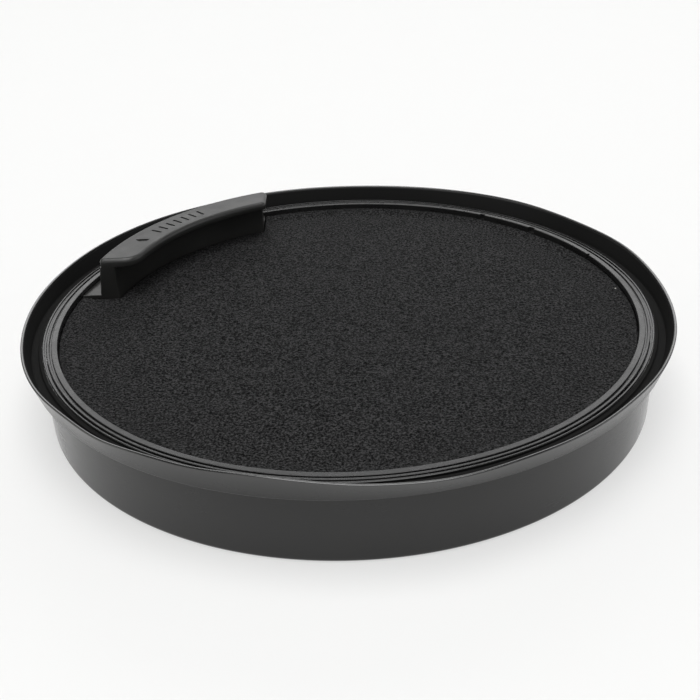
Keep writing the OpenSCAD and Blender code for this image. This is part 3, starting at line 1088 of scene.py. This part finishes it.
class CARTRIDGE_OT_net(bpy.types.Operator):
    """Builds the net that keeps the foam off the floor's ribs"""

    bl_idname = "cartridge.net"
    bl_label = "Support Net"

    def execute(self, context):
        s = context.scene.cartridge_frame
        material = moulded_plastic("Net Plastic", s.net_colour, 0.5)
        piece = grown(
            "crossed_net",
            net_tree(),
            {
                "Radius": FOAM_R,
                "Pitch": s.net_pitch,
                "Strand Radius": (NET_TOP - NET_Z) / 4,
                "Middle Height": (NET_TOP + NET_Z) / 2,
                "Count": 2 * int(FOAM_R / s.net_pitch) + 1,
                "Cut Radius": FOAM_R - NET_CUT[0],
                "Cut From": math.radians(NET_CUT[1]),
                "Cut To": math.radians(NET_CUT[2]),
                "Material": material,
            },
        )
        finish_piece(piece, smooth_angle=80)
        give(piece, material, "insert", "net_plastic", "support_net")
        return {"FINISHED"}


class CARTRIDGE_OT_grip(bpy.types.Operator):
    """Builds the curved pull grip with its ledge, its pegs and the marks sunk in its top"""

    bl_idname = "cartridge.grip"
    bl_label = "Pull Grip"

    def execute(self, context):
        s = context.scene.cartridge_grip
        well_r = well_radius(context)
        r_out = well_r - s.inset
        r_in = r_out - s.width
        ledge_top = DRUM_H - 1.3 * MM
        slab_z = GRIP_TOP - s.slab
        wall_r = r_out - s.wall
        wall_x = s.end_x + s.end_inset

        def stem(z, inward=0.0):
            """Plan of the wall at a height, with its inner face moved inwards."""
            lean = s.lean * min(max((slab_z - z) / (slab_z - ledge_top), 0.0), 1.0)
            corners = (0.6 * MM, 0.6 * MM, 0.5 * MM)
            return grip_plan(wall_r - inward, r_out + lean, wall_x - inward, s.end_y, *corners), z

        top = (r_in, r_out, s.end_x, s.end_y, s.long_corner, s.short_corner, 1.0 * MM)
        levels = [stem(PAD_TOP), stem(ledge_top)]
        # The wall runs into the top with a small fillet, and the top's edges are rounded
        blend, soft = 0.9 * MM, 0.4 * MM
        levels += [stem(slab_z - blend * down, blend * inward) for down, inward in quarter_turn(4)]
        for inward, up in quarter_turn(3):
            under = (r_in + soft * inward, r_out, s.end_x + soft * inward, s.end_y, *top[4:])
            levels.append((grip_plan(*under), slab_z + soft * up))
        levels += [
            (grip_plan(*shrunk(top, s.edge_round * inward)), GRIP_TOP - s.edge_round * down)
            for down, inward in quarter_turn(6)
        ]
        piece = lofted("grip", levels)

        plan = (r_out + s.lean - 0.8 * MM, well_r - PLAY, wall_x, s.end_y)
        added = [plan_slab("ledge", plan, ledge_top - 1.2 * MM, ledge_top, 0.12 * MM)]
        peg_ring = (wall_r + r_out + s.lean) / 2
        low = math.pi / 2 + math.asin(wall_x / peg_ring)
        high = math.pi - math.asin(s.end_y / peg_ring)
        for part in (0.25, 0.75):
            middle = polar(peg_ring, low + (high - low) * part)
            circle = [middle + polar(PEG_R, turn) for turn in even_azimuths(24)]
            added.append(lofted("peg", [(circle, FLOOR_Z), (circle, PAD_TOP + 1 * MM)]))
        combine(piece, added, "UNION")

        # Sunk marks along the middle of the top: a row of bars and an arrow after them
        mark_r = (r_in + r_out) / 2
        middle = (math.pi * 1.5 + math.asin(wall_x / mark_r) - math.asin(s.end_y / mark_r)) / 2
        apart, to_arrow, depth, reach = math.radians(2.6), math.radians(4), 0.35 * MM, 2 * MM
        corners = ((-1, -1), (1, -1), (1, 1), (-1, 1))
        bar = rounded([(reach * x, 0.4 * MM * y, 0.38 * MM) for x, y in corners], steps=3)
        arrow = [(-reach, -reach), (reach, 0.0), (-reach, reach)]
        marks = [(bar, middle + (i - (s.bars - 1) / 2) * apart) for i in range(s.bars)]
        marks.append((arrow, middle + apart * (s.bars + 1) / 2 + to_arrow))
        heights = (GRIP_TOP - depth, GRIP_TOP + 1 * MM)
        combine(piece, [placed_prism("mark", plan, mark_r, a, *heights) for plan, a in marks], "DIFFERENCE")
        finish_piece(piece, smooth_angle=30)
        # The grip's edges are painted paler than wear alone would leave them, as a painted highlight along its rims
        material = moulded_plastic("Grip Plastic", s.colour, s.roughness, grain=2200.0, depth=0.03 * MM, edge_wear_and_highlight=1.0)
        give(piece, material, "insert", "grip_plastic", "pull_grip")
        return {"FINISHED"}


class CARTRIDGE_OT_foam(bpy.types.Operator):
    """Builds the crowned foam disc with its porous face, cut out round the grip"""

    bl_idname = "cartridge.foam"
    bl_label = "Foam Disc"

    def execute(self, context):
        s = context.scene.cartridge_foam
        g = context.scene.cartridge_grip
        well_r = well_radius(context)
        gap = 0.3 * MM
        # The foam is cut out round the grip's wall, and runs on under the grip's top
        cut_r = well_r - g.inset - g.wall - gap
        cut_x, cut_y = g.end_x + g.end_inset - gap, g.end_y - gap
        step = s.grain
        spacing = step * 1.3
        foam_r = FOAM_R + 0.2 * MM
        edge_r, edge_z = 0.3 * MM, FOAM_TOP - 0.25 * MM

        def ring_part(radius, start, end):
            """Points along an arc, without its last one."""
            n = max(int(abs(end - start) * radius / spacing), 1)
            return [polar(radius, start + (end - start) * i / n) for i in range(n)]

        def straight(a, b):
            """Points along a line, without its last one."""
            n = max(int((b - a).length / spacing), 1)
            return [a.lerp(b, i / n) for i in range(n)]

        def on_planes(radius, inset):
            """The points where a circle crosses the cut's two planes, and their azimuths."""
            x, y = cut_x - inset, cut_y - inset
            back, left = Vector((-x, math.sqrt(radius**2 - x**2))), Vector((-math.sqrt(radius**2 - y**2), y))
            return back, left, math.atan2(back.y, back.x), math.atan2(left.y, left.x)

        def outline(inset):
            """The foam's edge in plan, drawn in by inset."""
            r, cr = foam_r - inset, cut_r - inset
            back, left, first, last = on_planes(r, inset)
            near_back, near_left, near_first, near_last = on_planes(cr, inset)
            return (
                ring_part(r, last - TURN, first)
                + straight(back, near_back)
                + ring_part(cr, near_first, near_last)
                + straight(near_left, left)
            )

        top_edge = outline(edge_r)
        sides = len(top_edge)
        # Points of the face: a triangular lattice, shifted a little at random, kept inside the edge
        margin, jitter = edge_r + step * 0.6, step * 0.28
        inner, row = [], 0
        y = -FOAM_R
        while y < FOAM_R:
            x = -FOAM_R + (step / 2 if row % 2 else 0.0)
            while x < FOAM_R:
                p = Vector((x, y)) + noise.random_vector().xy * jitter
                in_cut = p.length > cut_r - margin and p.x < margin - cut_x and p.y > cut_y - margin
                if p.length < foam_r - margin and not in_cut:
                    inner.append(p)
                x += step
            y += step * math.sqrt(3) / 2
            row += 1
        ring = [(i, (i + 1) % sides) for i in range(sides)]
        flat, _, triangles, *_ = geometry.delaunay_2d_cdt(top_edge + inner, ring, [], 1, 1e-7)

        def rise(p):
            """How far the foam turns up at its edge."""
            return s.edge_rise * smoothstep(0.93, 1.0, p.length / FOAM_R)

        def face_height(p):
            """Height of the porous face at a point in plan."""
            crown = s.crown * (1 - (p.length / FOAM_R) ** 2)
            slow = noise.noise(Vector((p.x, p.y, 0.5)) * 90) * 0.12 * MM
            # The middles of the cells stand above the seams between them
            near = noise.voronoi(Vector((p.x, p.y, 0.0)) / (1.7 * step))[0]
            return edge_z + crown + rise(p) + slow + s.relief * (near[1] - near[0] - 0.4) * 1.6

        vertices = [(p.x, p.y, face_height(p)) for p in flat]
        faces = [tuple(t) for t in triangles]
        # The edge rolls over into the side wall and then the flat underside. Each step of the roll
        # is how far out and how far down it lies, as shares of the roll's radius
        roll = ((0.2, 0.09), (0.55, 0.3), (0.85, 0.62), (1.0, 1.0))
        rings_down = [(edge_r * (1 - part), edge_z - edge_r * drop) for part, drop in roll]
        rings_down += [(0.0, (FOAM_TOP + FOAM_Z) / 2), (0.0, FOAM_Z + 0.3 * MM), (0.3 * MM, FOAM_Z)]
        above = range(sides)
        for inset, z in rings_down:
            here = range(len(vertices), len(vertices) + sides)
            for p in resampled(outline(inset), sides):
                rough = noise.noise(Vector((p.x, p.y, z)) * 900) * 0.06 * MM
                out = p + p.normalized() * rough
                vertices.append((out.x, out.y, z + rise(p) * smoothstep(FOAM_Z, edge_z - edge_r, z)))
            faces += [(above[i], here[i], here[j], above[j]) for i, j in ring]
            above = here
        faces.append(tuple(above))
        piece = mesh_piece("foam", vertices, faces, smooth_angle=70)
        give(piece, open_foam("Open Foam", s.colour), "foam", "filter_foam", "foam_disc")
        return {"FINISHED"}


# ---------------------------------------------------------------- stage


class CARTRIDGE_OT_stage(bpy.types.Operator):
    """Builds the pale floor, the soft lights and the camera"""

    bl_idname = "cartridge.stage"
    bl_label = "Stage"

    def execute(self, context):
        s = context.scene.cartridge_stage
        reach = 6.0
        corners = [(-reach, -reach, 0), (reach, -reach, 0), (reach, reach, 0), (-reach, reach, 0)]
        floor = mesh_piece("floor", corners, [(0, 1, 2, 3)])
        made, tree, shader, place = new_material("Floor")
        soft = ranged(tree, noise_at(tree, place, 30.0, 2.0), 0.3, 0.7, 0.0, 1.0)
        look = {
            "Base Color": mixed(tree, soft, brighter(s.floor_colour, 0.995), s.floor_colour),
            "Roughness": 0.8,
            "Specular IOR Level": 0.1,
            "Emission Color": (1.0, 1.0, 0.997, 1.0),
            "Emission Strength": s.floor_glow,
        }
        feed(tree, shader, look)
        floor.data.materials.append(made)

        world = bpy.data.worlds.new("White Surround")
        context.scene.world = world
        world.use_nodes = True
        sky = world.node_tree
        toward = add(sky, "ShaderNodeTexCoord").outputs["Generated"]
        height = add(sky, "ShaderNodeSeparateXYZ", {0: toward}).outputs[2]
        glow = ranged(sky, height, 0.05, 0.3, s.horizon, s.surround, smooth=True)
        feed(sky, sky.nodes["Background"], {"Color": (1, 1, 1, 1), "Strength": glow})

        # Name, place, width, depth, brightness and tint of each light
        for name, at, width, depth, glow, tint in (
            ("light_top", (0.0, -0.1, 4.0), 2.9, 2.9, s.top, (1.0, 1.0, 0.995)),
            ("light_front", (0.0, -2.6, 3.1), 3.6, 3.2, s.front, (1.0, 1.0, 1.0)),
            ("light_back", (0.3, 3.9, 2.25), 5.0, 1.5, s.back, (1.0, 1.0, 1.0)),
            ("light_left", (-3.6, 0.0, 1.8), 2.4, 2.4, s.sides, (1.0, 1.0, 0.93)),
            ("light_right", (3.6, 0.0, 1.8), 2.4, 2.4, s.sides, (0.97, 0.98, 1.0)),
        ):
            data = bpy.data.lights.new(name, "AREA")
            data.shape = "RECTANGLE"
            data.size, data.size_y = width, depth
            data.energy = glow * math.pi * width * depth
            data.color = tint
            light = bpy.data.objects.new(name, data)
            light.location = at
            light.rotation_euler = (-Vector(at)).to_track_quat("-Z", "Y").to_euler()
            context.scene.collection.objects.link(light)

        data = bpy.data.cameras.new("camera")
        camera = bpy.data.objects.new("camera", data)
        context.scene.collection.objects.link(camera)
        # The camera looks at the origin from the front, tipped down and rolled a little
        rise, roll = math.radians(s.elevation), math.radians(s.roll)
        level = Matrix.Rotation(math.pi / 2 - rise, 4, "X") @ Matrix.Rotation(-roll, 4, "Z")
        camera.matrix_world = level @ Matrix.Translation((0, 0, s.distance))
        data.sensor_width = 36
        data.lens = 36 / 0.7
        # A small lens shift sets the drum a little off the middle
        data.shift_x, data.shift_y = 0.0007, 0.0293
        data.clip_start, data.clip_end = 0.01, 50
        context.scene.camera = camera
        context.scene.view_settings.view_transform = "Standard"
        return {"FINISHED"}


class CARTRIDGE_PT_panel(bpy.types.Panel):
    """Lists the cartridge's pieces"""

    bl_idname = "CARTRIDGE_PT_panel"
    bl_label = "Filter Cartridge"
    bl_space_type = "VIEW_3D"
    bl_region_type = "UI"
    bl_category = "Cartridge"

    def draw(self, context):
        for operator in OPERATORS:
            self.layout.operator(operator.bl_idname)


SETTINGS = {
    "cartridge_drum": CartridgeDrumSettings,
    "cartridge_seal": CartridgeSealSettings,
    "cartridge_filter": CartridgeFilterSettings,
    "cartridge_frame": CartridgeFrameSettings,
    "cartridge_grip": CartridgeGripSettings,
    "cartridge_foam": CartridgeFoamSettings,
    "cartridge_stage": CartridgeStageSettings,
}
OPERATORS = [
    CARTRIDGE_OT_stage,
    CARTRIDGE_OT_drum,
    CARTRIDGE_OT_seal,
    CARTRIDGE_OT_outlet,
    CARTRIDGE_OT_pleats,
    CARTRIDGE_OT_frame,
    CARTRIDGE_OT_net,
    CARTRIDGE_OT_grip,
    CARTRIDGE_OT_foam,
]


def register():
    """Registers the settings, the operators and the panel."""
    for name, group in SETTINGS.items():
        bpy.utils.register_class(group)
        setattr(bpy.types.Scene, name, bpy.props.PointerProperty(type=group))
    for operator in OPERATORS:
        bpy.utils.register_class(operator)
    bpy.utils.register_class(CARTRIDGE_PT_panel)


def unregister():
    """Takes them all away again."""
    bpy.utils.unregister_class(CARTRIDGE_PT_panel)
    for operator in reversed(OPERATORS):
        bpy.utils.unregister_class(operator)
    for name, group in SETTINGS.items():
        delattr(bpy.types.Scene, name)
        bpy.utils.unregister_class(group)


def main():
    """Builds every piece and the stage."""
    register()
    noise.seed_set(7)
    for operator in OPERATORS:
        group, _, name = operator.bl_idname.partition(".")
        getattr(getattr(bpy.ops, group), name)()
    bpy.context.view_layer.update()


if __name__ == "__main__":
    main()
